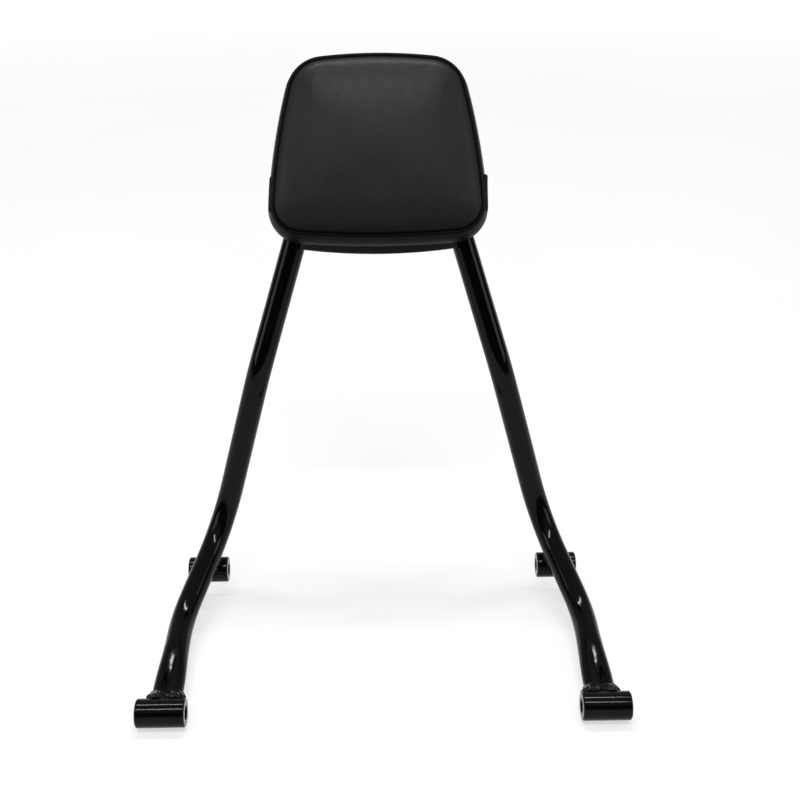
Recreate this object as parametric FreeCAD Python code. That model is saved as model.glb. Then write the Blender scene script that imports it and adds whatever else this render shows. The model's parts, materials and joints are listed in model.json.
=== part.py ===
import FreeCAD, Part
import math
import os

from FreeCAD import Placement, Rotation, Vector

# Motorcycle sissy bar: a bent steel hoop on four welded sleeves, with an upholstered backrest pad.
# Millimetres. +X is the rider's right, +Y points to the rear of the bike and +Z up.
# The origin lies midway between the two front sleeves, on their common axis.

# Steel tube
TUBE_DIAMETER = 20.0
TUBE_WALL = 2.0
JOIN_TOLERANCE = 0.001

# Corners of the tube's centre line on the right side
ARM_HALF_SPACING = 168.0
ARM_RUN = 104.0
ARM_RISE = 11.0
KICK_X = 140.6
KICK_Y = 188.2
KICK_Z = 52.4
SHOULDER_X = 103.0
SHOULDER_Y = 202.3
SHOULDER_Z = 190.7

# The backrest plane starts at the shoulders and leans back
BACK_LEAN = 26.0
BACK_SPLAY = 15.9
HOOP_RISE = 222.0

# Bend radii on the centre line
ARM_BEND_RADIUS = 87.0
KICK_BEND_RADIUS = 71.0
SHOULDER_BEND_RADIUS = 100.0
HOOP_BEND_RADIUS = 45.0

# Pressed lower ends of the tube
PRESSED_LENGTH = 80.0
PRESSED_RAMP = 56.0
PRESSED_WIDENING = 2.0
PRESSED_TOP_DROP = 3.2
PRESSED_BOTTOM_DROP = 1.2
DIMPLE_DEPTH = 4.0
DIMPLE_WIDTH = 5.0
PRESSED_STATIONS = 6
SECTION_POINTS = 24

# Mounting sleeves
SLEEVE_DIAMETER = 22.0
SLEEVE_BORE = 11.0
SLEEVE_CHAMFER = 0.8
FRONT_SLEEVE_LENGTH = 37.5
FRONT_SLEEVE_OFFSET = 2.0
REAR_SLEEVE_LENGTH = 34.0
REAR_SLEEVE_OFFSET = 2.0

# Welds
WELD_ROOT_GAP = 0.2
FRONT_WELD_LEG = 3.4
FRONT_WELD_LENGTH = 7.0
FRONT_WELD_ROOT = 5.0
FRONT_WELD_TOE = 1.0
REAR_WELD_RADIUS = 8.8
PLATE_WELD_LENGTH = 34.0
PLATE_WELD_RADIUS = 2.6
PLATE_WELD_SPACING = 45.0

# Plate between the upper legs
PLATE_THICKNESS = 3.0
PLATE_PROUD = 0.5
PLATE_BOTTOM = 103.5
PLATE_BOTTOM_BULGE = 4.5
PLATE_HEIGHT = 90.0
PLATE_EDGE_GAP = 0.3

# Backrest pad
PAD_BOTTOM = 105.0
PAD_HEIGHT = 152.0
PAD_BOTTOM_WIDTH = 177.0
PAD_TOP_WIDTH = 134.0
PAD_SIDE_BULGE = 4.6
PAD_TOP_BULGE = 5.4
PAD_BOTTOM_BULGE = 5.0
PAD_TOP_CORNER = 30.0
PAD_BOTTOM_CORNER = 24.0
PAD_SIDE_DEPTH = 30.0
PAD_FRONT_ROUND = 13.0
COVER_THICKNESS = 1.5
BACK_COVER_THICKNESS = 1.0
BOARD_THICKNESS = 6.0
FOAM_CLEARANCE = 0.2
BOARD_CLEARANCE = 0.3
PIPING_RADIUS = 1.4
LAP_HEIGHT = 50.0
LAP_LENGTH = 12.0
LAP_ROOT = 4.0
LAP_MARGIN = 2.0
SPLIT_MARGIN = 5.0

# Fasteners that hold the pad to the plate
SCREW_DIAMETER = 6.0
SCREW_HEAD_DIAMETER = 10.5
SCREW_HEAD_HEIGHT = 3.3
SCREW_HEAD_CHAMFER = 1.2
SCREW_SOCKET = 4.0
SCREW_SOCKET_DEPTH = 2.0
SCREW_HOLE_CLEARANCE = 0.3
THREAD_CLEARANCE = 0.1
WASHER_DIAMETER = 12.0
WASHER_THICKNESS = 1.6
LOCK_WASHER_DIAMETER = 10.8
LOCK_WASHER_THICKNESS = 1.6
LOCK_WASHER_SLIT = 1.2
TEE_NUT_FLANGE = 18.0
TEE_NUT_FLANGE_THICKNESS = 1.5
TEE_NUT_BARREL = 8.0
TEE_NUT_BARREL_LENGTH = 5.0
TEE_NUT_CLEARANCE = 0.15
SCREW_TIP = 0.5
POCKET_CLEARANCE = 0.5
LOWER_SCREW_HALF_SPACING = 34.0
UPPER_SCREW_HALF_SPACING = 24.0
LOWER_SCREW_HEIGHT = 22.0
UPPER_SCREW_HEIGHT = 70.0

TUBE_RADIUS = TUBE_DIAMETER / 2
SLEEVE_RADIUS = SLEEVE_DIAMETER / 2
HEXAGON_SIDES = 6
X_AXIS = Vector(1, 0, 0)
Z_AXIS = Vector(0, 0, 1)

# Heights above the backrest plane, which holds the centre line of the upper tube
PLATE_FRONT = TUBE_RADIUS + PLATE_PROUD
PLATE_BACK = PLATE_FRONT - PLATE_THICKNESS
BOARD_BACK = PLATE_FRONT + BACK_COVER_THICKNESS
BOARD_FRONT = BOARD_BACK + BOARD_THICKNESS
SEAM_HEIGHT = PLATE_FRONT + PAD_SIDE_DEPTH
PAD_FRONT = SEAM_HEIGHT + PAD_FRONT_ROUND

# Levels up the backrest
PAD_TOP = PAD_BOTTOM + PAD_HEIGHT
LAP_LEVEL = PAD_BOTTOM + LAP_HEIGHT

# Backrest coordinates: x across, y up along the leaning plane, z towards the rider
BACKREST = Placement(Vector(0, SHOULDER_Y, SHOULDER_Z), Rotation(X_AXIS, 90 - BACK_LEAN))


def unit(vector):
    return vector * (1 / vector.Length)


def mirrored(shape):
    return shape.mirror(Vector(0, 0, 0), X_AXIS)


def on_backrest(shape):
    placed = shape.copy()
    placed.Placement = BACKREST
    return placed


def tube_corners():
    """Corners of the whole centre line with the bend radius at each, right end to left end."""
    hoop_x = SHOULDER_X - HOOP_RISE * math.tan(math.radians(BACK_SPLAY))
    right = [
        (Vector(ARM_HALF_SPACING, 0, 0), 0),
        (Vector(ARM_HALF_SPACING, ARM_RUN, ARM_RISE), ARM_BEND_RADIUS),
        (Vector(KICK_X, KICK_Y, KICK_Z), KICK_BEND_RADIUS),
        (Vector(SHOULDER_X, SHOULDER_Y, SHOULDER_Z), SHOULDER_BEND_RADIUS),
        (BACKREST.multVec(Vector(hoop_x, HOOP_RISE, 0)), HOOP_BEND_RADIUS),
    ]
    left = [(Vector(-point.x, point.y, point.z), radius) for point, radius in reversed(right)]
    return right + left


def bend_points(before, corner, after, radius):
    """Start, middle and end of the arc that rounds a corner."""
    to_before = unit(before - corner)
    to_after = unit(after - corner)
    half_angle = to_before.getAngle(to_after) / 2
    setback = radius / math.tan(half_angle)
    centre = corner + unit(to_before + to_after) * (radius / math.sin(half_angle))
    middle = centre + unit(corner - centre) * radius
    return corner + to_before * setback, middle, corner + to_after * setback


def rounded_path(corners):
    """Straight runs joined by tangent arcs."""
    edges = []
    start = corners[0][0]
    for index in range(1, len(corners) - 1):
        corner, radius = corners[index]
        first, middle, last = bend_points(corners[index - 1][0], corner, corners[index + 1][0], radius)
        edges.append(Part.LineSegment(start, first).toShape())
        edges.append(Part.Arc(first, middle, last).toShape())
        start = last
    edges.append(Part.LineSegment(start, corners[-1][0]).toShape())
    return edges


def round_bar(edges, radius):
    """Solid of circular section along lines and arcs."""
    pieces = []
    for edge in edges:
        start = edge.valueAt(edge.FirstParameter)
        tangent = edge.tangentAt(edge.FirstParameter)
        disc = Part.Face(Part.Wire(Part.makeCircle(radius, start, tangent)))
        if isinstance(edge.Curve, Part.Circle):
            turn = math.degrees(edge.LastParameter - edge.FirstParameter)
            pieces.append(disc.revolve(edge.Curve.Center, edge.Curve.Axis, turn))
        else:
            pieces.append(disc.extrude(tangent * edge.Length))
    return pieces[0].multiFuse(pieces[1:], JOIN_TOLERANCE)


def arm_frame():
    """Foot, direction and upward normal of the right arm."""
    along = unit(Vector(0, ARM_RUN, ARM_RISE))
    return Vector(ARM_HALF_SPACING, 0, 0), along, X_AXIS.cross(along)


def pressed_share(station):
    """0 where the tube is still round, rising smoothly to 1 where it is fully pressed."""
    share = min(max((PRESSED_LENGTH - station) / PRESSED_RAMP, 0), 1)
    return share * share * (3 - 2 * share)


def pressed_section(station, grow):
    """Closed section of the right arm at a distance from its end, grown outwards all round."""
    foot, along, up = arm_frame()
    share = pressed_share(station)
    half_width = TUBE_RADIUS + PRESSED_WIDENING * share + grow
    top = TUBE_RADIUS - PRESSED_TOP_DROP * share + grow
    bottom = TUBE_RADIUS - PRESSED_BOTTOM_DROP * share + grow
    points = []
    for index in range(SECTION_POINTS):
        angle = 2 * math.pi * index / SECTION_POINTS
        across = half_width * math.cos(angle)
        lift = math.sin(angle)
        height = (top if lift > 0 else bottom) * lift
        if lift > 0:
            height -= DIMPLE_DEPTH * share * lift * math.exp(-(across / DIMPLE_WIDTH) ** 2)
        points.append(foot + along * station + X_AXIS * across + up * height)
    curve = Part.BSplineCurve()
    curve.interpolate(Points=points, PeriodicFlag=True)
    return Part.Wire(curve.toShape())


def pressed_end(grow):
    """Right lower end of the tube as a filled solid."""
    step = PRESSED_LENGTH / (PRESSED_STATIONS - 1)
    sections = [pressed_section(index * step, grow) for index in range(PRESSED_STATIONS)]
    return Part.makeLoft(sections, True, False)


def round_run():
    """Centre line of the tube between its two pressed ends."""
    corners = tube_corners()
    foot, along = arm_frame()[:2]
    round_start = foot + along * PRESSED_LENGTH
    corners[0] = (round_start, 0)
    corners[-1] = (Vector(-round_start.x, round_start.y, round_start.z), 0)
    return rounded_path(corners)


def rear_seat():
    """Point on the right centre line where the rear sleeve is welded, and the way to that sleeve."""
    corners = tube_corners()
    seat = bend_points(corners[1][0], corners[2][0], corners[3][0], KICK_BEND_RADIUS)[0]
    along = unit(corners[2][0] - corners[1][0])
    return seat, unit(along.cross(X_AXIS))


def front_sleeve_centre():
    return Vector(ARM_HALF_SPACING + FRONT_SLEEVE_OFFSET, 0, 0)


def rear_sleeve_centre():
    seat, outward = rear_seat()
    distance = TUBE_RADIUS + SLEEVE_RADIUS + WELD_ROOT_GAP
    return seat + outward * distance + X_AXIS * REAR_SLEEVE_OFFSET


def bar_along_x(centre, radius, length):
    return Part.makeCylinder(radius, length, centre - X_AXIS * (length / 2), X_AXIS)


def sleeve(centre, length):
    """Turned sleeve with chamfered rims and a bolt bore."""
    body = bar_along_x(centre, SLEEVE_RADIUS, length)
    rims = [edge for edge in body.Edges if len(edge.Vertexes) == 1]
    body = body.makeChamfer(SLEEVE_CHAMFER, rims)
    return body.cut(bar_along_x(centre, SLEEVE_BORE / 2, length))


def bent_tube():
    """One tube, bent, pressed and coped to the front sleeves."""
    run = round_run()
    hollow_run = round_bar(run, TUBE_RADIUS).cut(round_bar(run, TUBE_RADIUS - TUBE_WALL))
    cope = bar_along_x(front_sleeve_centre(), SLEEVE_RADIUS, FRONT_SLEEVE_LENGTH)
    right_end = pressed_end(0).cut(pressed_end(-TUBE_WALL)).cut(cope)
    return hollow_run.multiFuse([right_end, mirrored(right_end)], JOIN_TOLERANCE)


def front_weld():
    """Fillet bead round the right coped end, no longer than the sleeve."""
    root = pressed_section(SLEEVE_RADIUS - FRONT_WELD_ROOT, FRONT_WELD_LEG)
    toe = pressed_section(SLEEVE_RADIUS + FRONT_WELD_LENGTH, -FRONT_WELD_TOE)
    collar = Part.makeLoft([root, toe], True, True)
    cope = bar_along_x(front_sleeve_centre(), SLEEVE_RADIUS, FRONT_SLEEVE_LENGTH)
    span = bar_along_x(front_sleeve_centre(), SLEEVE_DIAMETER + TUBE_DIAMETER, FRONT_SLEEVE_LENGTH)
    return collar.common(span).cut(pressed_end(0)).cut(cope)


def rear_weld(tube_bar):
    """Bead that fills the ring between the tube and the right rear sleeve."""
    seat, outward = rear_seat()
    contact = seat + outward * TUBE_RADIUS
    depth = TUBE_RADIUS + SLEEVE_RADIUS
    puddle = Part.makeCylinder(REAR_WELD_RADIUS, depth, contact - outward * (depth / 2), outward)
    cope = bar_along_x(rear_sleeve_centre(), SLEEVE_RADIUS, REAR_SLEEVE_LENGTH)
    return puddle.cut(tube_bar).cut(cope)


def leg_x(height):
    """Half distance between the upper legs' centre lines at a height on the backrest."""
    return SHOULDER_X - height * math.tan(math.radians(BACK_SPLAY))


def plate_edge_inset():
    """Distance across the backrest from a leg's centre line to the plate's edge."""
    seat = math.sqrt(TUBE_RADIUS ** 2 - PLATE_BACK ** 2)
    return (seat + PLATE_EDGE_GAP) / math.cos(math.radians(BACK_SPLAY))


def screw_places():
    low = PLATE_BOTTOM + LOWER_SCREW_HEIGHT
    high = PLATE_BOTTOM + UPPER_SCREW_HEIGHT
    return [
        (side * half, height)
        for half, height in ((LOWER_SCREW_HALF_SPACING, low), (UPPER_SCREW_HALF_SPACING, high))
        for side in (-1, 1)
    ]


def at_screws(make):
    """A group with one copy at each screw, and each copy built at its place."""
    return Part.makeCompound([make(Vector(x, y, 0)) for x, y in screw_places()])


def drill(shape, diameter, bottom, depth):
    """The shape with a round hole at each screw."""
    for x, y in screw_places():
        shape = shape.cut(Part.makeCylinder(diameter / 2, depth, Vector(x, y, bottom)))
    return shape


def pad_plate():
    """Plate between the upper legs, with a bowed lower edge."""
    top = PLATE_BOTTOM + PLATE_HEIGHT
    low_x = leg_x(PLATE_BOTTOM) - plate_edge_inset()
    high_x = leg_x(top) - plate_edge_inset()
    low_left = Vector(-low_x, PLATE_BOTTOM, PLATE_BACK)
    low_right = Vector(low_x, PLATE_BOTTOM, PLATE_BACK)
    high_right = Vector(high_x, top, PLATE_BACK)
    high_left = Vector(-high_x, top, PLATE_BACK)
    lowest = Vector(0, PLATE_BOTTOM - PLATE_BOTTOM_BULGE, PLATE_BACK)
    outline = Part.Wire([
        Part.Arc(low_left, lowest, low_right).toShape(),
        Part.LineSegment(low_right, high_right).toShape(),
        Part.LineSegment(high_right, high_left).toShape(),
        Part.LineSegment(high_left, low_left).toShape(),
    ])
    plate = Part.Face(outline).extrude(Z_AXIS * PLATE_THICKNESS)
    return drill(plate, SCREW_DIAMETER + 2 * SCREW_HOLE_CLEARANCE, PLATE_BACK, PLATE_THICKNESS)


def plate_weld(plate, tube_bar):
    """Two stitch beads behind the plate, along the right leg."""
    beads = []
    middle = PLATE_BOTTOM + PLATE_HEIGHT / 2
    for centre in (middle - PLATE_WELD_SPACING / 2, middle + PLATE_WELD_SPACING / 2):
        low = centre - PLATE_WELD_LENGTH / 2
        high = centre + PLATE_WELD_LENGTH / 2
        start = Vector(leg_x(low) - plate_edge_inset(), low, PLATE_BACK)
        end = Vector(leg_x(high) - plate_edge_inset(), high, PLATE_BACK)
        bead = Part.makeCylinder(PLATE_WELD_RADIUS, (end - start).Length, start, end - start)
        beads.append(on_backrest(bead).cut(plate).cut(tube_bar))
    return Part.makeCompound(beads)


def bowed_sides():
    """The pad's four sides as circles, bottom, right, top and left, and the corners between them."""
    low_x = PAD_BOTTOM_WIDTH / 2
    high_x = PAD_TOP_WIDTH / 2
    low_y = PAD_BOTTOM + PAD_BOTTOM_BULGE
    high_y = PAD_TOP - PAD_TOP_BULGE
    middle_x = (low_x + high_x) / 2 + PAD_SIDE_BULGE
    middle_y = (low_y + high_y) / 2
    low_left = Vector(-low_x, low_y, 0)
    low_right = Vector(low_x, low_y, 0)
    high_right = Vector(high_x, high_y, 0)
    high_left = Vector(-high_x, high_y, 0)
    sides = [
        Part.Arc(low_left, Vector(0, PAD_BOTTOM, 0), low_right).toShape().Curve,
        Part.Arc(low_right, Vector(middle_x, middle_y, 0), high_right).toShape().Curve,
        Part.Arc(high_right, Vector(0, PAD_TOP, 0), high_left).toShape().Curve,
        Part.Arc(high_left, Vector(-middle_x, middle_y, 0), low_left).toShape().Curve,
    ]
    return sides, [low_right, high_right, high_left, low_left]


def corner_centre(one, other, radius, corner):
    """Centre of the arc that rounds the corner between two bowed sides."""
    gap = other.Center - one.Center
    reach_one = one.Radius - radius
    reach_other = other.Radius - radius
    along = (gap.Length ** 2 + reach_one ** 2 - reach_other ** 2) / (2 * gap.Length)
    aside = math.sqrt(reach_one ** 2 - along ** 2)
    foot = one.Center + unit(gap) * along
    offset = unit(gap.cross(Z_AXIS)) * aside
    return min((foot + offset, foot - offset), key=lambda point: point.distanceToPoint(corner))


def arc_about(centre, radius, start_way, end_way):
    """Arc round a centre between two directions, by the shorter way."""
    start = centre + unit(start_way) * radius
    middle = centre + unit(unit(start_way) + unit(end_way)) * radius
    return Part.Arc(start, middle, centre + unit(end_way) * radius).toShape()


def pad_outline(inset):
    """Outline of the pad, inset all round: four bowed sides with rounded corners."""
    sides, corners = bowed_sides()
    radii = [PAD_BOTTOM_CORNER, PAD_TOP_CORNER, PAD_TOP_CORNER, PAD_BOTTOM_CORNER]
    next_sides = sides[1:] + sides[:1]
    centres = [corner_centre(*fit) for fit in zip(sides, next_sides, radii, corners)]
    edges = []
    for index, side in enumerate(sides):
        start_way = centres[index - 1] - side.Center
        end_way = centres[index] - side.Center
        edges.append(arc_about(side.Center, side.Radius - inset, start_way, end_way))
        next_way = centres[index] - next_sides[index].Center
        edges.append(arc_about(centres[index], radii[index] - inset, end_way, next_way))
    return Part.Wire(edges)


def pad_layer(inset, bottom, height):
    """Flat layer of the pad's outline, inset all round."""
    layer = Part.Face(pad_outline(inset)).extrude(Z_AXIS * height)
    layer.translate(Z_AXIS * bottom)
    return layer


def pad_body(inset, bottom):
    """Pad with a rounded front rim, inset on its sides and front."""
    front = PAD_FRONT - inset
    body = pad_layer(inset, bottom, front - bottom)
    rim = [edge for edge in body.Edges if edge.BoundBox.ZMin > SEAM_HEIGHT]
    return body.makeFillet(PAD_FRONT_ROUND - inset, rim)


def piping():
    edges = [edge.translated(Z_AXIS * SEAM_HEIGHT) for edge in pad_outline(0).Edges]
    return round_bar(edges, PIPING_RADIUS)


def slab(bottom, top, low_y, high_y):
    """Box as wide as the pad and more, between two heights and two levels, for splitting the cover."""
    half_width = max(PAD_BOTTOM_WIDTH, PAD_TOP_WIDTH) / 2 + PAD_SIDE_BULGE + SPLIT_MARGIN
    corner = Vector(-half_width, low_y, bottom)
    return Part.makeBox(2 * half_width, high_y - low_y, top - bottom, corner)


def cover_shell():
    """The cover as one skin, open at the back, with a groove for the piping."""
    inner = pad_body(COVER_THICKNESS, PLATE_FRONT)
    return pad_body(0, PLATE_FRONT).cut(inner).cut(piping())


def cover_front_panel(shell):
    front = PAD_FRONT + SPLIT_MARGIN
    return shell.common(slab(SEAM_HEIGHT, front, PAD_BOTTOM - SPLIT_MARGIN, PAD_TOP + SPLIT_MARGIN))


def cover_gusset_upper(shell):
    back = PLATE_FRONT - SPLIT_MARGIN
    return shell.common(slab(back, SEAM_HEIGHT, LAP_LEVEL, PAD_TOP + SPLIT_MARGIN))


def cover_gusset_lower(shell):
    """Lower side strip, whose two ends lap outside the upper strip."""
    strip = shell.common(slab(PLATE_FRONT - SPLIT_MARGIN, SEAM_HEIGHT, PAD_BOTTOM - SPLIT_MARGIN, LAP_LEVEL))
    low = PLATE_FRONT + LAP_MARGIN
    high = SEAM_HEIGHT - PIPING_RADIUS - LAP_MARGIN
    band = pad_layer(-COVER_THICKNESS, low, high - low).cut(pad_layer(0, low, high - low))
    tabs = band.common(slab(low, high, LAP_LEVEL - LAP_ROOT, LAP_LEVEL + LAP_LENGTH))
    return strip.fuse(tabs).removeSplitter()


def pad_back_cover():
    sheet = pad_layer(COVER_THICKNESS, PLATE_FRONT, BACK_COVER_THICKNESS)
    return drill(sheet, SCREW_DIAMETER + 2 * SCREW_HOLE_CLEARANCE, PLATE_FRONT, BACK_COVER_THICKNESS)


def pad_base_board():
    board = pad_layer(COVER_THICKNESS + BOARD_CLEARANCE, BOARD_BACK, BOARD_THICKNESS)
    return drill(board, TEE_NUT_BARREL + 2 * TEE_NUT_CLEARANCE, BOARD_BACK, BOARD_THICKNESS)


def pad_foam():
    """Foam block with pockets for the tee nuts."""
    foam = pad_body(COVER_THICKNESS + FOAM_CLEARANCE, BOARD_FRONT)
    depth = TEE_NUT_FLANGE_THICKNESS + SCREW_TIP + POCKET_CLEARANCE
    return drill(foam, TEE_NUT_FLANGE + 2 * POCKET_CLEARANCE, BOARD_FRONT, depth)


def tee_nut(place):
    flange = Part.makeCylinder(TEE_NUT_FLANGE / 2, TEE_NUT_FLANGE_THICKNESS, place + Z_AXIS * BOARD_FRONT)
    barrel_base = place + Z_AXIS * (BOARD_FRONT - TEE_NUT_BARREL_LENGTH)
    barrel = Part.makeCylinder(TEE_NUT_BARREL / 2, TEE_NUT_BARREL_LENGTH, barrel_base)
    length = TEE_NUT_BARREL_LENGTH + TEE_NUT_FLANGE_THICKNESS
    bore = Part.makeCylinder(SCREW_DIAMETER / 2 + THREAD_CLEARANCE, length, barrel_base)
    return flange.fuse(barrel).cut(bore).removeSplitter()


def ring(place, bottom, thickness, diameter):
    base = place + Z_AXIS * bottom
    hole = Part.makeCylinder(SCREW_DIAMETER / 2 + SCREW_HOLE_CLEARANCE, thickness, base)
    return Part.makeCylinder(diameter / 2, thickness, base).cut(hole)


def plain_washer(place):
    return ring(place, PLATE_BACK - WASHER_THICKNESS, WASHER_THICKNESS, WASHER_DIAMETER)


def lock_washer(place):
    """Split spring washer."""
    bottom = PLATE_BACK - WASHER_THICKNESS - LOCK_WASHER_THICKNESS
    washer = ring(place, bottom, LOCK_WASHER_THICKNESS, LOCK_WASHER_DIAMETER)
    corner = place + Vector(0, -LOCK_WASHER_SLIT / 2, bottom)
    slit = Part.makeBox(LOCK_WASHER_DIAMETER, LOCK_WASHER_SLIT, LOCK_WASHER_THICKNESS, corner)
    return washer.cut(slit)


def pad_screw(place):
    """Button-head screw with a hexagon socket, driven from behind the plate."""
    seat = PLATE_BACK - WASHER_THICKNESS - LOCK_WASHER_THICKNESS
    tip = BOARD_FRONT + TEE_NUT_FLANGE_THICKNESS + SCREW_TIP
    head_base = place + Z_AXIS * (seat - SCREW_HEAD_HEIGHT)
    head = Part.makeCylinder(SCREW_HEAD_DIAMETER / 2, SCREW_HEAD_HEIGHT, head_base)
    rim = [edge for edge in head.Edges if edge.Closed and edge.BoundBox.ZMax < seat - SCREW_HEAD_HEIGHT / 2]
    head = head.makeChamfer(SCREW_HEAD_CHAMFER, rim)
    shank = Part.makeCylinder(SCREW_DIAMETER / 2, tip - seat, place + Z_AXIS * seat)
    corner_radius = SCREW_SOCKET / math.sqrt(3)
    corners = [
        head_base + Vector(corner_radius * math.cos(turn), corner_radius * math.sin(turn), 0)
        for turn in (2 * math.pi * index / HEXAGON_SIDES for index in range(HEXAGON_SIDES + 1))
    ]
    socket = Part.Face(Part.makePolygon(corners)).extrude(Z_AXIS * SCREW_SOCKET_DEPTH)
    return head.fuse(shank).cut(socket).removeSplitter()


def build():
    tube_bar = round_bar(round_run(), TUBE_RADIUS)
    plate = on_backrest(pad_plate())
    shell = cover_shell()
    right_pieces = {
        "front_sleeve": sleeve(front_sleeve_centre(), FRONT_SLEEVE_LENGTH),
        "rear_sleeve": sleeve(rear_sleeve_centre(), REAR_SLEEVE_LENGTH),
        "front_weld": front_weld(),
        "rear_weld": rear_weld(tube_bar),
        "plate_weld": plate_weld(plate, tube_bar),
    }
    backrest_pieces = {
        "pad_back_cover": pad_back_cover(),
        "pad_base_board": pad_base_board(),
        "pad_foam": pad_foam(),
        "cover_front_panel": cover_front_panel(shell),
        "cover_gusset_upper": cover_gusset_upper(shell),
        "cover_gusset_lower": cover_gusset_lower(shell),
        "cover_piping": piping(),
        "tee_nuts": at_screws(tee_nut),
        "pad_screws": at_screws(pad_screw),
        "plain_washers": at_screws(plain_washer),
        "lock_washers": at_screws(lock_washer),
    }
    nodes = {"bent_tube": bent_tube(), "pad_plate": plate}
    for name, shape in right_pieces.items():
        nodes[name + "_right"] = shape
        nodes[name + "_left"] = mirrored(shape)
    for name, shape in backrest_pieces.items():
        nodes[name] = on_backrest(shape)
    return nodes


os.makedirs("parts", exist_ok=True)
for node, shape in build().items():
    shape.exportStep("parts/" + node + ".step")
    print(node, len(shape.Solids), shape.isValid(), round(shape.Volume, 1))
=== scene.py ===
import json
import math

import bpy
from mathutils import Matrix, Vector, noise
from mathutils.bvhtree import BVHTree


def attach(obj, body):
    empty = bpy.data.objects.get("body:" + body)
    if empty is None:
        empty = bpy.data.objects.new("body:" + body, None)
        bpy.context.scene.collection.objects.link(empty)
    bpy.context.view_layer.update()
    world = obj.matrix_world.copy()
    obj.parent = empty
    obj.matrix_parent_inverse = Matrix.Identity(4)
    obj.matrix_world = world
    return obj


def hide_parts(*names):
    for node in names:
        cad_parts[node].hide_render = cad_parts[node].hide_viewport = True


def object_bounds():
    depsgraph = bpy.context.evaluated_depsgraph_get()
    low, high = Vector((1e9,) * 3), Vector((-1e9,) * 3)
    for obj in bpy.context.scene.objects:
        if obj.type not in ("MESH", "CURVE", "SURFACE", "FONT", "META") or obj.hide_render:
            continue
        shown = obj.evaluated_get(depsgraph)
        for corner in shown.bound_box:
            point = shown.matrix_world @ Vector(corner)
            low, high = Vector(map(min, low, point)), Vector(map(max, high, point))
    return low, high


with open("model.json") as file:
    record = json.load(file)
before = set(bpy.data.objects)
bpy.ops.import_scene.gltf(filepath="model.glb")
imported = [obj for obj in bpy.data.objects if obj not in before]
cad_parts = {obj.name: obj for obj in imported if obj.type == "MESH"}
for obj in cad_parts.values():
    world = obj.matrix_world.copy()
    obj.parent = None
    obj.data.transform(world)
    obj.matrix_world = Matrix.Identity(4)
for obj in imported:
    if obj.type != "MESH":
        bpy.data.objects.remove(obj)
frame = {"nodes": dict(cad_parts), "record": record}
cad_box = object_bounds()

# Looks of a motorcycle sissy bar: gloss black paint on steel, and a padded backrest in black vinyl.
# Metres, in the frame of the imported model: +X to the right, +Y to the rear, +Z up.
MM = 0.001

# Backrest plane: it holds the upper tube's centre line and leans back from the shoulders
SHOULDER = Vector((0, 0.2023, 0.1907))
BACK_LEAN = math.radians(26)
BACKREST = Matrix.Translation(SHOULDER) @ Matrix.Rotation(math.radians(90) - BACK_LEAN, 4, "X")
BACKREST_UP = BACKREST.col[1].xyz
BACKREST_OUT = BACKREST.col[2].xyz

# Pad outline on that plane, and heights above it
PAD_BOTTOM = 105 * MM
PAD_TOP = 257 * MM
PAD_BOTTOM_WIDTH = 177 * MM
PAD_TOP_WIDTH = 134 * MM
PAD_SIDE_BULGE = 4.6 * MM
PAD_TOP_BULGE = 5.4 * MM
PAD_BOTTOM_BULGE = 5 * MM
PAD_TOP_CORNER = 30 * MM
PAD_BOTTOM_CORNER = 24 * MM
PAD_BACK = 10.5 * MM
SEAM_HEIGHT = 40.5 * MM

# The front seam is a little smaller than the back of the pad, and higher
SEAM_WIDTH_SHARE = 0.985
SEAM_HEIGHT_SHARE = 0.965
SEAM_INSET = -0.4 * MM

# Rings of the rim behind the pad, from its hidden end: height above the pad's back, and inset
BACK_RINGS = (
    (1.3 * MM, 2.4 * MM),
    (0.5 * MM, 1.4 * MM),
    (0.1 * MM, 0.8 * MM),
    (0.9 * MM, 0.1 * MM),
)

# Gusset above that rim
GUSSET_START = 3 * MM
GUSSET_BULGE = 4.0 * MM
GUSSET_RINGS = 9
SEAM_RING = len(BACK_RINGS) + GUSSET_RINGS

# Front of the pad above the seam: a wide crown with a tighter roll along its rim
CROWN_RISE = 11 * MM
CROWN_WIDTH = 75 * MM
CROWN_POWER = 3.5
ROLL_RISE = 4 * MM
ROLL_WIDTH = 8 * MM
ROLL_POWER = 2.5

# Pad mesh: rings of the front in millimetres inside the seam's groove, smoothing of the front,
# steps along the outline, and samples on each of its arcs
RIM_STEPS = (0.8, 2.0, 3.6, 5.6, 8.2, 11.5, 15.5)
SMOOTH_PASSES = 24
COLUMNS = 44
ROWS = 38
ARC_SAMPLES = 40
PAD_SUBDIVISION = 1

# Cloth: its travel is limited, and points up to a height above the pad's back are held
CLOTH_FRAMES = 20
CLOTH_PRESSURE = 1.5
CLOTH_LIMIT = 2 * MM
HELD_HEIGHT = 4 * MM

# Sewn details
PIPING_RADIUS = 1.3 * MM
PIPING_SIDES = 12
GROOVE_DEPTH = 1.5 * MM
GROOVE_WIDTH = 1.5 * MM

# Laps of the lower side strip over the upper one: thickness and lift on the left and right
LAP_LOW = 130 * MM
LAP_HIGH = 160 * MM
LAP_BACK = 13 * MM
LAP_FRONT = 37.5 * MM
LAP_THICKNESS = {-1: 0.6 * MM, 1: 1.3 * MM}
LAP_LIFT = {-1: 0.1 * MM, 1: 1.0 * MM}
LAP_LIFT_POWER = 3
LAP_SINK = 0.3 * MM
LAP_EDGE = 0.12
LAP_STEPS = 16

# Weld beads
WELD_VOXEL = 0.45 * MM
WELD_PITCH = 3.6 * MM
WELD_RIPPLE = 0.35 * MM
WELD_SLANT = 0.35
WELD_LUMP = 0.35 * MM
WELD_LUMP_SIZE = 3.5 * MM
WELD_GROWTH = 0.9 * MM
FRONT_WELD_FLARE = 2.6 * MM
FRONT_WELD_STRETCH = 0.45

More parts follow.
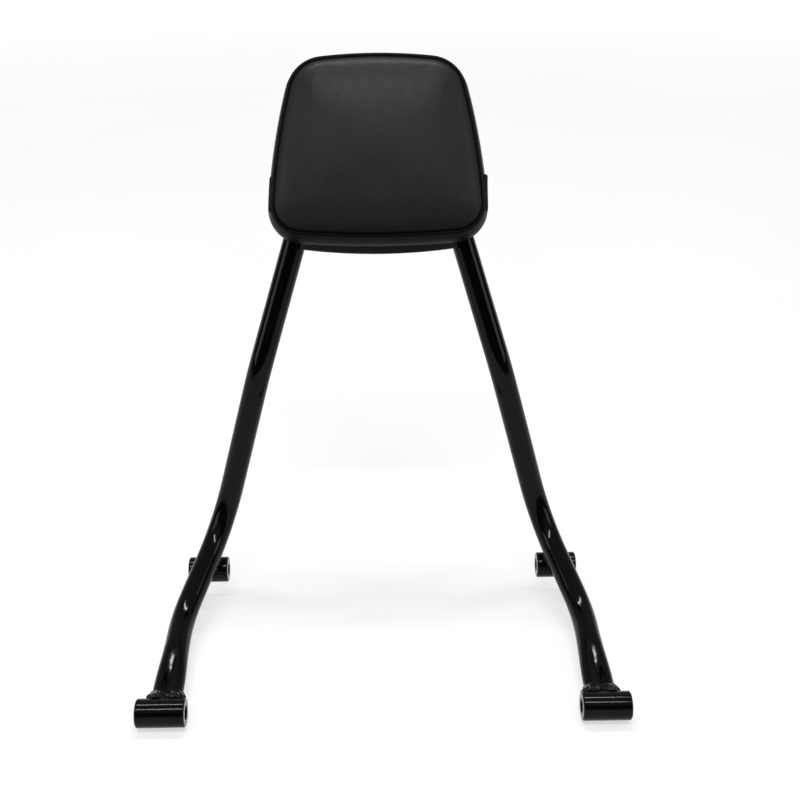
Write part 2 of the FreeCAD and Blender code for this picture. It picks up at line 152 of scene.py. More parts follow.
# Middles and axes of the ring welds on the right: arm to front sleeve, and tube to rear sleeve
FRONT_WELD = (Vector((0.168, 0.010, 0)), Vector((0, 1, 0.1)))
REAR_WELD = (Vector((0.151, 0.161, 0.027)), Vector((0, -0.3, 1)))

# Part of a pattern's range over which its colours change
RAMP_START = 0.3
RAMP_END = 0.7

# Gloss paint: tones, roughness, orange peel, and the radius over which it evens the surface
PAINT_MOTTLE = {"scale": 35, "detail": 3}
PAINT_TONES = (0.0010, 0.0016)
PAINT_CLOUDS = {"scale": 90, "detail": 5}
PAINT_ROUGHNESS = (0.07, 0.10)
PAINT_PEEL = {"scale": 260, "detail": 2}
PAINT_PEEL_RELIEF = {"strength": 0.003, "depth": 0.4 * MM}
PAINT_SPECULAR = 0.14
EVENING_RADIUS = 2 * MM
EVENING_SAMPLES = 8

# Satin paint of the pad's plate
SATIN_TONES = (0.036, 0.044)
SATIN_ROUGHNESS = (0.40, 0.48)

# Vinyl: tones, roughness and shine of the front and of the sewn details, creases and grain
VINYL_MOTTLE = {"scale": 26, "detail": 4}
VINYL_BLUE = 0.05
VINYL_CLOUDS = {"scale": 140, "detail": 4}
VINYL_CREASES = {"scale": 55, "detail": 5}
VINYL_CREASE_RELIEF = {"strength": 0.10, "depth": 1.2 * MM}
VINYL_GRAIN_SCALE = 1150
VINYL_GRAIN_RELIEF = {"strength": 0.14, "depth": 0.4 * MM}
FRONT_VINYL = {"tones": (0.017, 0.021), "roughness": (0.38, 0.46), "specular": 0.15}
SEWN_VINYL = {"tones": (0.032, 0.038), "roughness": (0.60, 0.70), "specular": 0.015}

# Painted shade on the vinyl: darker below the fold of the front panel along the seam, and towards
# the pad's lower edge
FOLD_HEIGHT = 7 * MM
FOLD_SHADE = 0.35
EDGE_HEIGHT = 36 * MM
EDGE_SHADE = 0.3

# Zinc of the screws, washers and tee nuts
ZINC_MOTTLE = {"scale": 260, "detail": 5}
ZINC_TONES = (0.42, 0.60)
ZINC_BLUE = 0.03
ZINC_CLOUDS = {"scale": 600, "detail": 4}
ZINC_ROUGHNESS = (0.28, 0.42)
ZINC_GRAIN = {"scale": 1500, "detail": 3}
ZINC_RELIEF = {"strength": 0.08, "depth": 0.2 * MM}

# Plywood of the board, with its grain along X
BOARD_GRAIN = {"scale": 60, "detail": 6, "stretch": (1, 9, 9)}
BOARD_COLOURS = ((0.24, 0.15, 0.08, 1), (0.42, 0.29, 0.17, 1))
BOARD_ROUGHNESS = (0.6, 0.8)
BOARD_RELIEF = {"strength": 0.2, "depth": 0.6 * MM}

# Foam
FOAM_CELLS_SCALE = 900
FOAM_COLOURS = ((0.40, 0.38, 0.33, 1), (0.58, 0.56, 0.50, 1))
FOAM_ROUGHNESS = (0.85, 0.95)
FOAM_RELIEF = {"strength": 0.3, "depth": 0.8 * MM}

# Camera: 36 mm sensor, square picture of 800 pixels
CAMERA_PLACE = Vector((0.0013, -0.685, 0.599))
CAMERA_PITCH = math.radians(26.12)
CAMERA_YAW = math.radians(0.99)
CAMERA_ROLL = math.radians(-0.27)
PICTURE_SIZE = 800
FOCAL_PIXELS = 1150
SENSOR = 36
CLIP_START = 0.01
CLIP_END = 100

# Floor: its glow, as seen, by the distance from the origin
FLOOR_GAP = 0.2 * MM
FLOOR_SIZE = 24
FLOOR_MOTTLE = {"scale": 3, "detail": 3}
FLOOR_TONES = (0.36, 0.38)
FLOOR_ROUGHNESS = 0.9
FLOOR_NEAR = (0.8, 0.62)
FLOOR_FAR = (4.0, 0.88)

# World: radiance of the dome by the cosine from its middle, and of the band along the horizon by
# the sine of the elevation
DOME_WAY = (0, 0.35, 1)
DOME_EDGE = (0.30, 0.06)
DOME_FULL = (0.52, 0.40)
BAND_FULL = (0.08, 1.0)
BAND_EDGE = (0.22, 0.06)

# Lamps: two strips overhead, before and behind, and a box on each side, given for the right
STRIP_DEPTHS = {"front_strip": -0.73, "rear_strip": 0.69}
STRIP_X = -0.04
STRIP_HEIGHT = 2.0
STRIP_SIZE = (1.3, 0.1)
STRIP_RADIANCE = 48
BOX_SIDES = {"left_box": -1, "right_box": 1}
BOX_PLACE = (1.2, -0.25, 0.85)
BOX_AIM = (0.1, 0.25, 0.28)
BOX_SIZE = (0.6, 0.5)
BOX_RADIANCE = 2.6


# Shapes on the pad's plane


def circle_through(first, second, third):
    """Centre and radius of the circle through three points of the plane."""
    a = second - first
    b = third - first
    cross = 2 * (a.x * b.y - a.y * b.x)
    centre = first + Vector((
        (b.y * a.length_squared - a.y * b.length_squared) / cross,
        (a.x * b.length_squared - b.x * a.length_squared) / cross,
    ))
    return centre, (first - centre).length


def pad_sides():
    """The pad's bowed sides as circles: bottom, right, top and left, and the corners after each."""
    low_x = PAD_BOTTOM_WIDTH / 2
    high_x = PAD_TOP_WIDTH / 2
    low_y = PAD_BOTTOM + PAD_BOTTOM_BULGE
    high_y = PAD_TOP - PAD_TOP_BULGE
    middle_x = (low_x + high_x) / 2 + PAD_SIDE_BULGE
    middle_y = (low_y + high_y) / 2
    low_left = Vector((-low_x, low_y))
    low_right = Vector((low_x, low_y))
    high_right = Vector((high_x, high_y))
    high_left = Vector((-high_x, high_y))
    sides = [
        circle_through(low_left, Vector((0, PAD_BOTTOM)), low_right),
        circle_through(low_right, Vector((middle_x, middle_y)), high_right),
        circle_through(high_right, Vector((0, PAD_TOP)), high_left),
        circle_through(high_left, Vector((-middle_x, middle_y)), low_left),
    ]
    return sides, [low_right, high_right, high_left, low_left]


def corner_centre(one, other, radius, corner):
    """Centre of the arc that rounds the corner between two bowed sides."""
    gap = other[0] - one[0]
    reach_one = one[1] - radius
    reach_other = other[1] - radius
    along = (gap.length_squared + reach_one ** 2 - reach_other ** 2) / (2 * gap.length)
    aside = math.sqrt(reach_one ** 2 - along ** 2)
    foot = one[0] + gap.normalized() * along
    offset = Vector((gap.y, -gap.x)).normalized() * aside
    return min((foot + offset, foot - offset), key=lambda point: (point - corner).length)


def angle_of(way):
    return math.atan2(way.y, way.x)


def arc_samples(centre, radius, start, end):
    """Points along an arc turning left from one direction to another, without the last."""
    first = angle_of(start)
    turn = (angle_of(end) - first) % (2 * math.pi)
    angles = (first + turn * step / ARC_SAMPLES for step in range(ARC_SAMPLES))
    return [centre + Vector((math.cos(angle), math.sin(angle))) * radius for angle in angles]


def evenly(points, count):
    """The line through the points, as that many equal steps."""
    lengths = [0]
    for before, after in zip(points, points[1:]):
        lengths.append(lengths[-1] + (after - before).length)
    spaced = []
    index = 0
    for step in range(count + 1):
        goal = lengths[-1] * step / count
        while index < len(points) - 2 and lengths[index + 1] < goal:
            index += 1
        span = lengths[index + 1] - lengths[index]
        spaced.append(points[index].lerp(points[index + 1], (goal - lengths[index]) / span))
    return spaced


def pad_ring(inset):
    """Outline of the pad, inset all round: a loop from the middle of the lower left corner."""
    sides, corners = pad_sides()
    radii = [PAD_BOTTOM_CORNER, PAD_TOP_CORNER, PAD_TOP_CORNER, PAD_BOTTOM_CORNER]
    next_sides = sides[1:] + sides[:1]
    centres = [corner_centre(*fit) for fit in zip(sides, next_sides, radii, corners)]
    side_arcs = []
    corner_arcs = []
    for index, (centre, radius) in enumerate(sides):
        start = centres[index - 1] - centre
        end = centres[index] - centre
        side_arcs.append(arc_samples(centre, radius - inset, start, end))
        next_way = centres[index] - next_sides[index][0]
        corner_arcs.append(arc_samples(centres[index], radii[index] - inset, end, next_way))
    loop = []
    half = ARC_SAMPLES // 2
    for index, count in enumerate((COLUMNS, ROWS, COLUMNS, ROWS)):
        line = corner_arcs[index - 1][half:] + side_arcs[index] + corner_arcs[index][:half + 1]
        loop += evenly(line, count)[:-1]
    return loop


def at_depth(point, height):
    """A point of the outline moved towards the smaller, higher outline of the front seam."""
    share = min(max((height - PAD_BACK) / (SEAM_HEIGHT - PAD_BACK), 0), 1)
    x = point.x * (1 + (SEAM_WIDTH_SHARE - 1) * share)
    y = PAD_TOP + (point.y - PAD_TOP) * (1 + (SEAM_HEIGHT_SHARE - 1) * share)
    return Vector((x, y, height))


# Mesh helpers


def new_object(name, data):
    thing = bpy.data.objects.new(name, data)
    bpy.context.scene.collection.objects.link(thing)
    return thing


def mesh_from(name, points, faces):
    mesh = bpy.data.meshes.new(name)
    mesh.from_pydata([tuple(point) for point in points], [], faces)
    mesh.update()
    return mesh


def smooth(mesh):
    mesh.polygons.foreach_set("use_smooth", [True] * len(mesh.polygons))
    mesh.update()


def apply_modifiers(piece):
    depsgraph = bpy.context.evaluated_depsgraph_get()
    mesh = bpy.data.meshes.new_from_object(piece.evaluated_get(depsgraph))
    piece.modifiers.clear()
    piece.data = mesh


def subdivide(piece, levels):
    modifier = piece.modifiers.new("subdivision", "SUBSURF")
    modifier.levels = levels
    modifier.render_levels = levels
    apply_modifiers(piece)


def tube_along(name, loop, radius, sides):
    """Closed tube round a closed loop of points."""
    count = len(loop)
    points = []
    for index, place in enumerate(loop):
        along = (loop[(index + 1) % count] - loop[index - 1]).normalized()
        aside = along.cross(Vector((0, 0, 1))).normalized()
        up = aside.cross(along)
        for side in range(sides):
            angle = 2 * math.pi * side / sides
            points.append(place + (aside * math.cos(angle) + up * math.sin(angle)) * radius)
    faces = []
    for index in range(count):
        here = index * sides
        there = (index + 1) % count * sides
        for side in range(sides):
            after = (side + 1) % sides
            faces.append((here + side, here + after, there + after, there + side))
    return mesh_from(name, points, faces)


# Materials


class Nodes:
    """Short hand for building one material's node tree."""

    def __init__(self, name):
        self.material = bpy.data.materials.new(name)
        self.material.use_nodes = True
        self.tree = self.material.node_tree
        self.shader = self.tree.nodes["Principled BSDF"]

    def add(self, kind, **values):
        node = self.tree.nodes.new(kind)
        for key, value in values.items():
            setattr(node, key, value)
        return node

    def link(self, source, target):
        self.tree.links.new(source, target)

    def feed(self, source, socket):
        self.link(source, self.shader.inputs[socket])

    def place(self, stretch=(1, 1, 1)):
        """Object coordinates, stretched."""
        mapping = self.add("ShaderNodeMapping")
        mapping.inputs["Scale"].default_value = stretch
        self.link(self.add("ShaderNodeTexCoord").outputs["Object"], mapping.inputs["Vector"])
        return mapping.outputs["Vector"]

    def noise(self, scale, detail, stretch=(1, 1, 1)):
        texture = self.add("ShaderNodeTexNoise")
        texture.inputs["Scale"].default_value = scale
        texture.inputs["Detail"].default_value = detail
        self.link(self.place(stretch), texture.inputs["Vector"])
        return texture.outputs["Fac"]

    def cells(self, scale):
        texture = self.add("ShaderNodeTexVoronoi")
        texture.inputs["Scale"].default_value = scale
        self.link(self.place(), texture.inputs["Vector"])
        return texture.outputs["Distance"]

    def colours(self, pattern, ends):
        """Colours between two ends, by a pattern."""
        node = self.add("ShaderNodeValToRGB")
        stops = node.color_ramp.elements
        for stop, position, colour in zip(stops, (RAMP_START, RAMP_END), ends):
            stop.position = position
            stop.color = colour
        self.link(pattern, node.inputs["Fac"])
        return node.outputs["Color"]

    def greys(self, pattern, ends, blue=0.0):
        """Greys between two ends, by a pattern."""
        return self.colours(pattern, [grey(level, blue) for level in ends])

    def painted_shade(self, way, start, length, low):
        """Painted shade: a share that rises from low to one along a direction of the backrest."""
        along = self.add("ShaderNodeVectorMath", operation="DOT_PRODUCT")
        along.inputs[1].default_value = way
        self.link(self.place(), along.inputs[0])
        rising = self.add("ShaderNodeMapRange")
        rising.inputs["From Min"].default_value = SHOULDER.dot(way) + start
        rising.inputs["From Max"].default_value = SHOULDER.dot(way) + start + length
        rising.inputs["To Min"].default_value = low
        self.link(along.outputs["Value"], rising.inputs["Value"])
        return rising.outputs["Result"]

    def bump(self, pattern, strength, depth, under=None):
        """Relief of a pattern, on top of another relief if one is given."""
        node = self.add("ShaderNodeBump")
        node.inputs["Strength"].default_value = strength
        node.inputs["Distance"].default_value = depth
        self.link(pattern, node.inputs["Height"])
        if under is not None:
            self.link(under, node.inputs["Normal"])
        return node.outputs["Normal"]


def grey(level, blue=0.0):
    return (level, level, level * (1 + blue), 1)


def gloss_black():
    """Stoved gloss paint with faint orange peel."""
    nodes = Nodes("gloss_black_paint")
    nodes.feed(nodes.greys(nodes.noise(**PAINT_MOTTLE), PAINT_TONES), "Base Color")
    nodes.feed(nodes.greys(nodes.noise(**PAINT_CLOUDS), PAINT_ROUGHNESS), "Roughness")
    even = nodes.add("ShaderNodeBevel", samples=EVENING_SAMPLES)
    even.inputs["Radius"].default_value = EVENING_RADIUS
    peel = nodes.noise(**PAINT_PEEL)
    nodes.feed(nodes.bump(peel, under=even.outputs["Normal"], **PAINT_PEEL_RELIEF), "Normal")
    nodes.shader.inputs["Specular IOR Level"].default_value = PAINT_SPECULAR
    return nodes.material


def satin_black():
    """Thin satin paint of the pad's plate."""
    nodes = Nodes("satin_black_paint")
    nodes.feed(nodes.greys(nodes.noise(**PAINT_MOTTLE), SATIN_TONES), "Base Color")
    nodes.feed(nodes.greys(nodes.noise(**PAINT_CLOUDS), SATIN_ROUGHNESS), "Roughness")
    nodes.shader.inputs["Specular IOR Level"].default_value = PAINT_SPECULAR
    return nodes.material


def black_vinyl(name, tones, roughness, specular):
    """Soft grained vinyl, with painted shade below the fold along the front seam and towards the
    lower edge.
    """
    nodes = Nodes(name)
    colour = nodes.greys(nodes.noise(**VINYL_MOTTLE), tones, VINYL_BLUE)
    painted_fold_shade = nodes.painted_shade(BACKREST_OUT, SEAM_HEIGHT, FOLD_HEIGHT, FOLD_SHADE)
    edge = nodes.painted_shade(BACKREST_UP, PAD_BOTTOM, EDGE_HEIGHT, EDGE_SHADE)
    # Painted shade: the base colour is darkened below the seam fold and towards the lower edge
    for share in (painted_fold_shade, edge):
        shaded = nodes.add("ShaderNodeVectorMath", operation="SCALE")
        nodes.link(colour, shaded.inputs[0])
        nodes.link(share, shaded.inputs["Scale"])
        colour = shaded.outputs["Vector"]
    nodes.feed(colour, "Base Color")
    # Painted shade on the shine as well: less specular towards the lower edge
    shine = nodes.add("ShaderNodeMath", operation="MULTIPLY")
    nodes.link(edge, shine.inputs[0])
    shine.inputs[1].default_value = specular
    nodes.feed(shine.outputs["Value"], "Specular IOR Level")
    nodes.feed(nodes.greys(nodes.noise(**VINYL_CLOUDS), roughness), "Roughness")
    creases = nodes.bump(nodes.noise(**VINYL_CREASES), **VINYL_CREASE_RELIEF)
    grain = nodes.cells(VINYL_GRAIN_SCALE)
    nodes.feed(nodes.bump(grain, under=creases, **VINYL_GRAIN_RELIEF), "Normal")
    return nodes.material


def zinc():
    """Dull plated steel."""
    nodes = Nodes("zinc_plate")
    nodes.feed(nodes.greys(nodes.noise(**ZINC_MOTTLE), ZINC_TONES, ZINC_BLUE), "Base Color")
    nodes.feed(nodes.greys(nodes.noise(**ZINC_CLOUDS), ZINC_ROUGHNESS), "Roughness")
    nodes.feed(nodes.bump(nodes.noise(**ZINC_GRAIN), **ZINC_RELIEF), "Normal")
    nodes.shader.inputs["Metallic"].default_value = 1
    return nodes.material


def patterned(name, pattern_of, colours, roughness, relief):
    """Matt material whose colour, roughness and relief follow one pattern."""
    nodes = Nodes(name)
    pattern = pattern_of(nodes)
    nodes.feed(nodes.colours(pattern, colours), "Base Color")
    nodes.feed(nodes.greys(pattern, roughness), "Roughness")
    nodes.feed(nodes.bump(pattern, **relief), "Normal")
    return nodes.material


def plywood():
    return patterned(
        "plywood", lambda nodes: nodes.noise(**BOARD_GRAIN),
        BOARD_COLOURS, BOARD_ROUGHNESS, BOARD_RELIEF,
    )


def foam():
    """Open celled cushion foam."""
    return patterned(
        "foam", lambda nodes: nodes.cells(FOAM_CELLS_SCALE),
        FOAM_COLOURS, FOAM_ROUGHNESS, FOAM_RELIEF,
    )


# Pad


def rise(distance, height, width, power):
    """Rounded step that ends level at its width."""
    return height * (1 - (1 - min(distance / width, 1)) ** power)


def front_height(distance):
    """Height of the pad's front at a distance inside the seam."""
    roll = rise(distance, ROLL_RISE, ROLL_WIDTH, ROLL_POWER)
    return SEAM_HEIGHT + roll + rise(distance, CROWN_RISE, CROWN_WIDTH, CROWN_POWER)


def pad_profile():
    """Height and inset of each ring: the hidden rim behind the pad, the gusset and the front."""
    rings = [(PAD_BACK + height, inset) for height, inset in BACK_RINGS]
    start = PAD_BACK + GUSSET_START
    end = SEAM_HEIGHT - GROOVE_WIDTH
    for index in range(GUSSET_RINGS):
        share = index / (GUSSET_RINGS - 1)
        height = start + (end - start) * share
        bulge = GUSSET_BULGE * math.sin(math.pi * share)
        rings.append((height, SEAM_INSET * share ** 2 - bulge))
    rings.append((SEAM_HEIGHT, SEAM_INSET + GROOVE_DEPTH))
    for step in RIM_STEPS:
        rings.append((front_height(step * MM), SEAM_INSET + GROOVE_DEPTH + step * MM))
    return rings


def boundary_index(column, row):
    """Place in a ring of the point at the edge of the front or back grid."""
    if row == 0:
        return column
    if column == COLUMNS:
        return COLUMNS + row
    if row == ROWS:
        return COLUMNS + ROWS + COLUMNS - column
    return (2 * COLUMNS + ROWS + ROWS - row) % (2 * (COLUMNS + ROWS))


def patch_point(ring, column, row):
    """Point inside a ring, blended from its four sides."""
    u = column / COLUMNS
    v = row / ROWS
    bottom = ring[boundary_index(column, 0)]
    top = ring[boundary_index(column, ROWS)]
    left = ring[boundary_index(0, row)]
    right = ring[boundary_index(COLUMNS, row)]
    low_left = ring[boundary_index(0, 0)]
    low_right = ring[boundary_index(COLUMNS, 0)]
    high_left = ring[boundary_index(0, ROWS)]
    high_right = ring[boundary_index(COLUMNS, ROWS)]
    corners = (
        low_left * ((1 - u) * (1 - v)) + low_right * (u * (1 - v))
        + high_left * ((1 - u) * v) + high_right * (u * v)
    )
    return bottom * (1 - v) + top * v + left * (1 - u) + right * u - corners


def patch_grid(loop):
    """Points inside a ring and on it, by column and row."""
    places = [(column, row) for row in range(ROWS + 1) for column in range(COLUMNS + 1)]
    return {place: patch_point(loop, *place) for place in places}


def front_grid(loop, seam):
    """Points of the front inside its last ring, with the ridges between its sides smoothed out."""
    grid = patch_grid(loop)
    inside = [(column, row) for row in range(1, ROWS) for column in range(1, COLUMNS)]
    for place in inside:
        point = grid[place]
        point.z = front_height(min((point.xy - edge.xy).length for edge in seam))
    for _ in range(SMOOTH_PASSES):
        heights = {}
        for column, row in inside:
            around = ((column - 1, row), (column + 1, row), (column, row - 1), (column, row + 1))
            heights[column, row] = sum(grid[place].z for place in around) / len(around)
        for place in inside:
            grid[place].z = heights[place]
    return grid


def cushion_mesh():
    """Closed cushion in the backrest's coordinates, and the number of points in each ring."""
    loops = []
    for height, inset in pad_profile():
        loops.append([at_depth(point, height) for point in pad_ring(inset)])
    size = len(loops[0])
    last = (len(loops) - 1) * size
    points = [point for loop in loops for point in loop]
    faces = []
    for here in range(0, last, size):
        there = here + size
        for index in range(size):
            after = (index + 1) % size
            faces.append((here + index, here + after, there + after, there + index))
    front = front_grid(loops[-1], loops[SEAM_RING])
    back = patch_grid(loops[0])
    for grid, start, order in ((front, last, 1), (back, 0, -1)):
        names = {}
        for (column, row), point in grid.items():
            if row in (0, ROWS) or column in (0, COLUMNS):
                names[column, row] = start + boundary_index(column, row)
            else:
                names[column, row] = len(points)
                points.append(point)
        for row in range(ROWS):
            for column in range(COLUMNS):
                right = column + 1
                above = row + 1
                around = ((column, row), (right, row), (right, above), (column, above))
                faces.append([names[corner] for corner in around][::order])
    return mesh_from("pad_cushion", points, faces), size


def held_points(mesh, size):
    """Points that the cloth keeps: the rim and back behind the gusset, and the front seam."""
    seam = range(SEAM_RING * size, (SEAM_RING + 1) * size)
    back = [point.index for point in mesh.vertices if point.co.z < PAD_BACK + HELD_HEIGHT]
    return sorted(set(back) | set(seam))


def swell(piece, held):
    """Pressure from inside rounds the cover, with each point's travel limited."""
    rest = [point.co.copy() for point in piece.data.vertices]
    group = piece.vertex_groups.new(name="held")
    group.add(held, 1, "REPLACE")
    cloth = piece.modifiers.new("cloth", "CLOTH")
    cloth.settings.vertex_group_mass = "held"
    cloth.settings.use_pressure = True
    cloth.settings.uniform_pressure_force = CLOTH_PRESSURE
    cloth.settings.effector_weights.gravity = 0
    scene = bpy.context.scene
    for step in range(1, CLOTH_FRAMES + 1):
        scene.frame_set(step)
    apply_modifiers(piece)
    scene.frame_set(1)
    for point, before in zip(piece.data.vertices, rest):
        travel = point.co - before
        if travel.length > CLOTH_LIMIT:
            point.co = before + travel * (CLOTH_LIMIT / travel.length)
    piece.vertex_groups.clear()


def seam_loop():
    """Centre line of the piping."""
    return [at_depth(point, SEAM_HEIGHT) for point in pad_ring(SEAM_INSET)]


def lap_mesh(name, cushion, side):
    """End of the lower side strip: it grows out of the cushion's side and its top stands off."""
    surface = BVHTree.FromPolygons(
        [point.co for point in cushion.vertices], [face.vertices for face in cushion.polygons]
    )
    inwards = Vector((-side, 0, 0))
    outer = []
    inner = []
    for row in range(LAP_STEPS + 1):
        share = row / LAP_STEPS
        level = LAP_LOW + (LAP_HIGH - LAP_LOW) * share
        for column in range(LAP_STEPS + 1):
            across = column / LAP_STEPS
            height = LAP_BACK + (LAP_FRONT - LAP_BACK) * across
            seat = surface.ray_cast(Vector((side * PAD_BOTTOM_WIDTH, level, height)), inwards)[0]
            edge = min(across, 1 - across, LAP_EDGE) / LAP_EDGE
            top = LAP_THICKNESS[side] * share * math.sqrt(edge * (2 - edge))
            lift = LAP_LIFT[side] * share ** LAP_LIFT_POWER
            outer.append(seat + Vector((side * (lift + top), 0, 0)))
            inner.append(seat + Vector((side * (lift * share - LAP_SINK), 0, 0)))
    size = LAP_STEPS + 1
    faces = []
    for row in range(LAP_STEPS):
        for column in range(LAP_STEPS):
            corner = row * size + column
            face = [corner, corner + 1, corner + size + 1, corner + size]
            faces.append(face[::-side])
            faces.append([index + len(outer) for index in face[::side]])
    rim = list(range(LAP_STEPS)) + [row * size + LAP_STEPS for row in range(LAP_STEPS)]
    rim += [len(outer) - 1 - index for index in rim]
    for index, here in enumerate(rim):
        there = rim[(index + 1) % len(rim)]
        faces.append([here, there, there + len(outer), here + len(outer)][::side])
    return mesh_from(name, outer + inner, faces)


def dress(piece, material):
    """Smooth shading, finish and the body that carries the piece."""
    smooth(piece.data)
    piece.data.materials.clear()
    piece.data.materials.append(material)
    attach(piece, "root")


def build_pad(front_vinyl, sewn_vinyl):
    mesh, size = cushion_mesh()
    cushion = new_object("pad_cushion", mesh)
    held = held_points(mesh, size)
    swell(cushion, held)
    subdivide(cushion, PAD_SUBDIVISION)
    pieces = {"pad_piping": tube_along("pad_piping", seam_loop(), PIPING_RADIUS, PIPING_SIDES)}
    for name, side in (("pad_lap_left", -1), ("pad_lap_right", 1)):
        pieces[name] = lap_mesh(name, cushion.data, side)
    for name, mesh in pieces.items():
        piece = new_object(name, mesh)
        piece.data.transform(BACKREST)
        dress(piece, sewn_vinyl)
        if name == "pad_piping":
            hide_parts("cover_piping")
    cushion.data.transform(BACKREST)
    dress(cushion, front_vinyl)
    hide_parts("pad_foam", "cover_front_panel", "cover_gusset_upper", "cover_gusset_lower")


# Welds


def ring_way(centre, axis):
    """Measures the way round a ring of weld, with ripples that slant along its axis."""
    forward = axis.normalized()
    across = forward.orthogonal().normalized()
    aside = forward.cross(across)

    def way(point):
        arm = point - centre
        reach = math.hypot(arm.dot(across), arm.dot(aside))
        turn = math.atan2(arm.dot(aside), arm.dot(across))
        return reach * turn + WELD_SLANT * arm.dot(forward)

    return way


def ripple_weld(node, way, material, flare=0, stretch=0):
    """A bead with the ripples and lumps of its passes, flared in front and stretched backwards."""
    piece = new_object(node + "_bead", frame["nodes"][node].data.copy())
    remesh = piece.modifiers.new("remesh", "REMESH")
    remesh.mode = "VOXEL"
    remesh.voxel_size = WELD_VOXEL
    apply_modifiers(piece)
    depths = [point.co.y for point in piece.data.vertices]
    front = min(depths)
    length = max(depths) - front
    moved = []
    for point in piece.data.vertices:
        behind = point.co.y - front
        wave = math.cos(2 * math.pi * way(point.co) / WELD_PITCH)
        lump = noise.noise(point.co / WELD_LUMP_SIZE)
        growth = WELD_GROWTH + flare * (1 - behind / length)
        place = point.co + point.normal * (growth + WELD_RIPPLE * wave + WELD_LUMP * lump)
        place.y += stretch * behind
        place.z = max(place.z, cad_box[0][2])
        moved.append(place)
    for point, place in zip(piece.data.vertices, moved):
        point.co = place
    dress(piece, material)
    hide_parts(node)


def build_welds(paint):
    for side, name in ((-1, "left"), (1, "right")):
        mirror = Matrix.Diagonal((side, 1, 1))
        front_way, rear_way = (
            ring_way(mirror @ centre, axis) for centre, axis in (FRONT_WELD, REAR_WELD)
        )
        ripple_weld("front_weld_" + name, front_way, paint, FRONT_WELD_FLARE, FRONT_WELD_STRETCH)
        ripple_weld("rear_weld_" + name, rear_way, paint)
        ripple_weld("plate_weld_" + name, BACKREST_UP.dot, paint)


# Studio


def add_area_light(name, place, aim, size, radiance):
    """Soft box whose face shines with the given radiance."""
    width, height = size
    lamp = bpy.data.lights.new(name, "AREA")
    lamp.shape = "RECTANGLE"
    lamp.size = width
    lamp.size_y = height
    lamp.energy = radiance * math.pi * width * height
    turn = (Vector(aim) - Vector(place)).to_track_quat("-Z", "Y").to_matrix().to_4x4()
    new_object(name, lamp).matrix_world = Matrix.Translation(place) @ turn


def add_lamps():
    for name, depth in STRIP_DEPTHS.items():
        place = (STRIP_X, depth, STRIP_HEIGHT)
        add_area_light(name, place, (STRIP_X, depth, 0), STRIP_SIZE, STRIP_RADIANCE)
    for name, side in BOX_SIDES.items():
        place, aim = ((side * x, y, z) for x, y, z in (BOX_PLACE, BOX_AIM))
        add_area_light(name, place, aim, BOX_SIZE, BOX_RADIANCE)


def add_world():
    """Pale dome behind and above, a dim room in front and a white band along the horizon."""
    world = bpy.data.worlds.new("studio")
    bpy.context.scene.world = world
    world.use_nodes = True
    tree = world.node_tree
    coordinates = tree.nodes.new("ShaderNodeTexCoord")
    facing = tree.nodes.new("ShaderNodeVectorMath")
    facing.operation = "DOT_PRODUCT"
    facing.inputs[1].default_value = Vector(DOME_WAY).normalized()
    split = tree.nodes.new("ShaderNodeSeparateXYZ")
    tree.links.new(coordinates.outputs["Generated"], facing.inputs[0])
    tree.links.new(coordinates.outputs["Generated"], split.inputs["Vector"])
    brighter = tree.nodes.new("ShaderNodeMath")
    brighter.operation = "MAXIMUM"
    for socket, (source, *ends) in zip(brighter.inputs, (
        (facing.outputs["Value"], DOME_EDGE, DOME_FULL),
        (split.outputs["Z"], BAND_FULL, BAND_EDGE),
    )):
        ramp = tree.nodes.new("ShaderNodeValToRGB")
        ramp.color_ramp.interpolation = "EASE"
        for stop, (position, level) in zip(ramp.color_ramp.elements, ends):
            stop.position = position
            stop.color = grey(level)
        tree.links.new(source, ramp.inputs["Fac"])
        tree.links.new(ramp.outputs["Color"], socket)
    tree.links.new(brighter.outputs["Value"], tree.nodes["Background"].inputs["Color"])


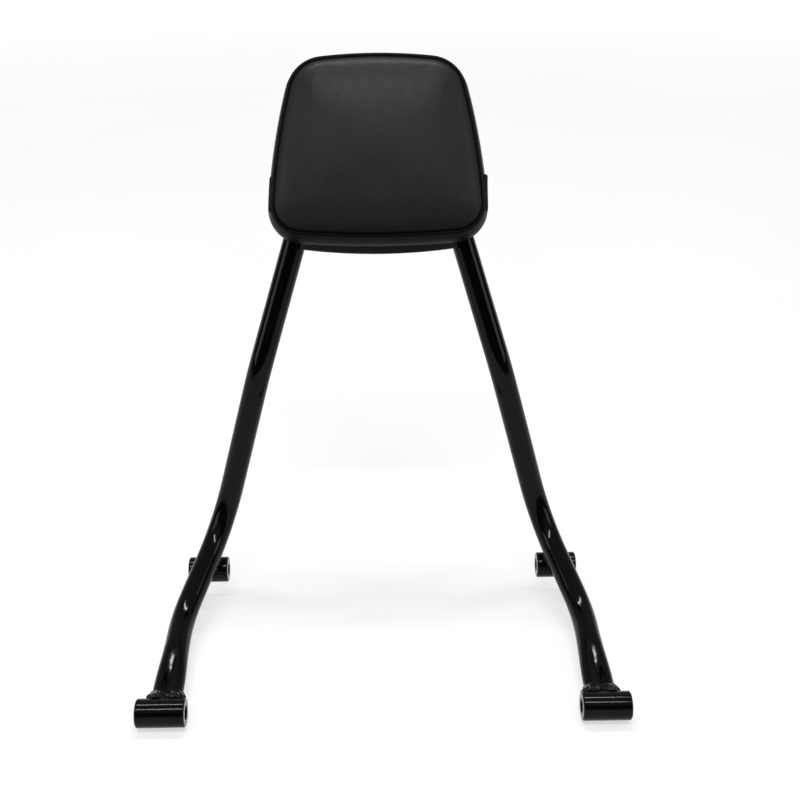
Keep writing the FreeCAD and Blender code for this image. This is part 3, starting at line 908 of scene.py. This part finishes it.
def add_floor():
    """Pale floor that keeps the object's shadow and, as seen, glows up to white."""
    low = cad_box[0][2] - FLOOR_GAP
    half = FLOOR_SIZE / 2
    corners = [(-half, -half, low), (half, -half, low), (half, half, low), (-half, half, low)]
    floor = new_object("floor", mesh_from("floor", corners, [(0, 1, 2, 3)]))
    nodes = Nodes("pale_floor")
    nodes.feed(nodes.greys(nodes.noise(**FLOOR_MOTTLE), FLOOR_TONES), "Base Color")
    nodes.shader.inputs["Roughness"].default_value = FLOOR_ROUGHNESS
    nodes.shader.inputs["Specular IOR Level"].default_value = 0
    rays = nodes.add("ShaderNodeLightPath")
    seen = rays.outputs["Is Camera Ray"]
    for other in ("Is Glossy Ray", "Is Transmission Ray"):
        total = nodes.add("ShaderNodeMath", operation="ADD")
        nodes.link(seen, total.inputs[0])
        nodes.link(rays.outputs[other], total.inputs[1])
        seen = total.outputs["Value"]
    distance = nodes.add("ShaderNodeVectorMath", operation="LENGTH")
    nodes.link(nodes.place(), distance.inputs[0])
    paling = nodes.add("ShaderNodeMapRange")
    for end, (reach, level) in (("Min", FLOOR_NEAR), ("Max", FLOOR_FAR)):
        paling.inputs["From " + end].default_value = reach
        paling.inputs["To " + end].default_value = level
    nodes.link(distance.outputs["Value"], paling.inputs["Value"])
    glow = nodes.add("ShaderNodeMath", operation="MULTIPLY")
    nodes.link(seen, glow.inputs[0])
    nodes.link(paling.outputs["Result"], glow.inputs[1])
    nodes.feed(glow.outputs["Value"], "Emission Strength")
    nodes.shader.inputs["Emission Color"].default_value = grey(1)
    floor.data.materials.append(nodes.material)


def add_camera():
    camera = bpy.data.cameras.new("camera")
    camera.sensor_width = SENSOR
    camera.lens = SENSOR * FOCAL_PIXELS / PICTURE_SIZE
    camera.clip_start = CLIP_START
    camera.clip_end = CLIP_END
    view = new_object("camera", camera)
    yaw = Matrix.Rotation(-CAMERA_YAW, 4, "Z")
    tilt = Matrix.Rotation(math.pi / 2 - CAMERA_PITCH, 4, "X")
    roll = Matrix.Rotation(CAMERA_ROLL, 4, "Z")
    view.matrix_world = Matrix.Translation(CAMERA_PLACE) @ yaw @ tilt @ roll
    bpy.context.scene.camera = view


def finish_nodes(by_slot, by_node):
    """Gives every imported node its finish: its own, or else its slot's."""
    for part in frame["record"]["subparts"]:
        node = part["node"]
        materials = frame["nodes"][node].data.materials
        materials.clear()
        materials.append(by_node.get(node, by_slot[part["material_slot"]]))


vinyl = black_vinyl("black_vinyl", **FRONT_VINYL)
sewn_vinyl = black_vinyl("black_side_vinyl", **SEWN_VINYL)
paint = gloss_black()
slots = {
    "gloss_black": paint, "black_vinyl": vinyl, "board": plywood(), "foam": foam(), "zinc": zinc(),
}
finish_nodes(slots, {"pad_plate": satin_black()})
build_pad(vinyl, sewn_vinyl)
build_welds(paint)
add_floor()
add_world()
add_camera()
add_lamps()
bpy.context.scene.view_settings.view_transform = "Standard"
